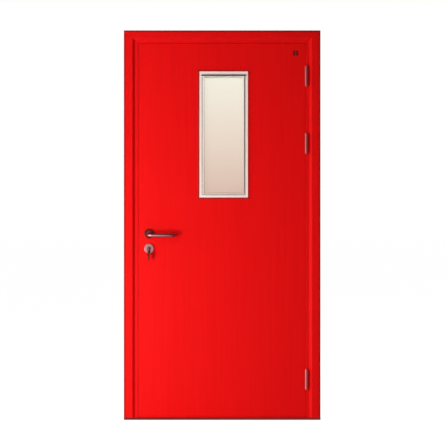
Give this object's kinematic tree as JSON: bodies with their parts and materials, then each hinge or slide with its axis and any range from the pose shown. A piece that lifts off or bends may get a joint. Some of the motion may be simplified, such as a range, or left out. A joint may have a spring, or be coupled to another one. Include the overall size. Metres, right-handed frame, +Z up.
{
  "type": "fire door",
  "caption": "Red single-leaf steel fire door in a splayed steel frame, with a tall vision panel, lever handle, keyed mortise lock and butt hinges.",
  "frame": {"origin": "on the floor, under the middle of the leaf's width and thickness", "axes": "+X to the right seen from the pull side, +Y through the door away from that side, +Z up"},
  "size_m": [1.06, 0.169, 2.1],
  "materials": {
    "red_paint": "semi-gloss red paint on folded sheet",
    "sill_paint": "dark red-brown paint",
    "seal_rubber": "matt black",
    "lever_steel": "satin",
    "hinge_steel": "satin",
    "rose_steel": "bright plated",
    "cylinder_nickel": "nickel plated brass",
    "bead_metal": "pale cream coating on pressed steel",
    "vision_glass": "pale hazy fire glass",
    "lock_steel": "brushed",
    "zinc_steel": "zinc plated",
    "core_mineral": "mineral board",
    "tag_dark": "dark plate"
  },
  "bodies": {
    "frame": {"frame_head": "red_paint", "frame_lock_jamb": "red_paint", "frame_hinge_jamb": "red_paint", "threshold": "sill_paint", "seal_head": "seal_rubber", "seal_lock_jamb": "seal_rubber", "seal_hinge_jamb": "seal_rubber", "strike_plate": "lock_steel", "strike_box": "zinc_steel", "strike_screws": "zinc_steel", "hinge_frame_screws": "zinc_steel", "frame_hinge_backings": "zinc_steel", "anchor_sleeves": "zinc_steel", "top_hinge_frame_plate": "hinge_steel", "upper_hinge_frame_plate": "hinge_steel", "lower_hinge_frame_plate": "hinge_steel", "top_hinge_pin": "hinge_steel", "upper_hinge_pin": "hinge_steel", "lower_hinge_pin": "hinge_steel"},
    "leaf": {"front_skin": "red_paint", "back_skin": "red_paint", "leaf_channel": "zinc_steel", "core_board": "core_mineral", "vision_liner": "zinc_steel", "glass_pane": "vision_glass", "front_bead": "bead_metal", "back_bead": "bead_metal", "front_gasket": "seal_rubber", "back_gasket": "seal_rubber", "bead_screws": "zinc_steel", "lock_case": "zinc_steel", "forend": "lock_steel", "forend_screws": "zinc_steel", "lever_rose_front": "lever_steel", "lever_rose_back": "lever_steel", "rose_bolts": "zinc_steel", "cylinder_rose_front": "rose_steel", "cylinder_rose_back": "rose_steel", "cylinder_body": "cylinder_nickel", "rear_plug": "cylinder_nickel", "cylinder_screw": "zinc_steel", "hinge_leaf_screws": "zinc_steel", "leaf_hinge_backings": "zinc_steel", "tag_plate": "tag_dark", "tag_rivets": "zinc_steel", "top_hinge_leaf_plate": "hinge_steel", "upper_hinge_leaf_plate": "hinge_steel", "lower_hinge_leaf_plate": "hinge_steel"},
    "lever": {"lever_front": "lever_steel", "lever_back": "lever_steel", "spindle": "zinc_steel", "follower": "zinc_steel"},
    "latch": {"latch_bolt": "lock_steel"},
    "deadbolt": {"dead_bolt": "lock_steel"},
    "key": {"cylinder_plug": "cylinder_nickel", "key": "cylinder_nickel", "key_ring": "cylinder_nickel", "spare_key": "cylinder_nickel"}
  },
  "joints": [
    {"name": "leaf_swing", "type": "hinge", "parent": "frame", "child": "leaf", "pos_m": [0.45325, -0.034, 0], "axis": [0, 0, 1], "range_deg": [0, 170]},
    {"name": "lever_turn", "type": "hinge", "parent": "leaf", "child": "lever", "pos_m": [-0.395, 0, 1.004], "axis": [0, 1, 0], "range_deg": [0, 40], "stiffness_Nm_per_rad": 1.5, "springref_deg": -57.3},
    {"name": "latch_slide", "type": "slide", "parent": "leaf", "child": "latch", "axis": [1, 0, 0], "range_m": [0, 0.0135]},
    {"name": "key_turn", "type": "hinge", "parent": "leaf", "child": "key", "pos_m": [-0.395, 0, 0.924], "axis": [0, 1, 0], "range_deg": [0, 360]},
    {"name": "deadbolt_slide", "type": "slide", "parent": "leaf", "child": "deadbolt", "axis": [-1, 0, 0], "range_m": [0, 0.0201]}
  ],
  "couplings": [
    {"joint": "latch_slide", "follows": "lever_turn", "m_per_rad": 0.019},
    {"joint": "deadbolt_slide", "follows": "key_turn", "m_per_rad": 0.0031831}
  ]
}
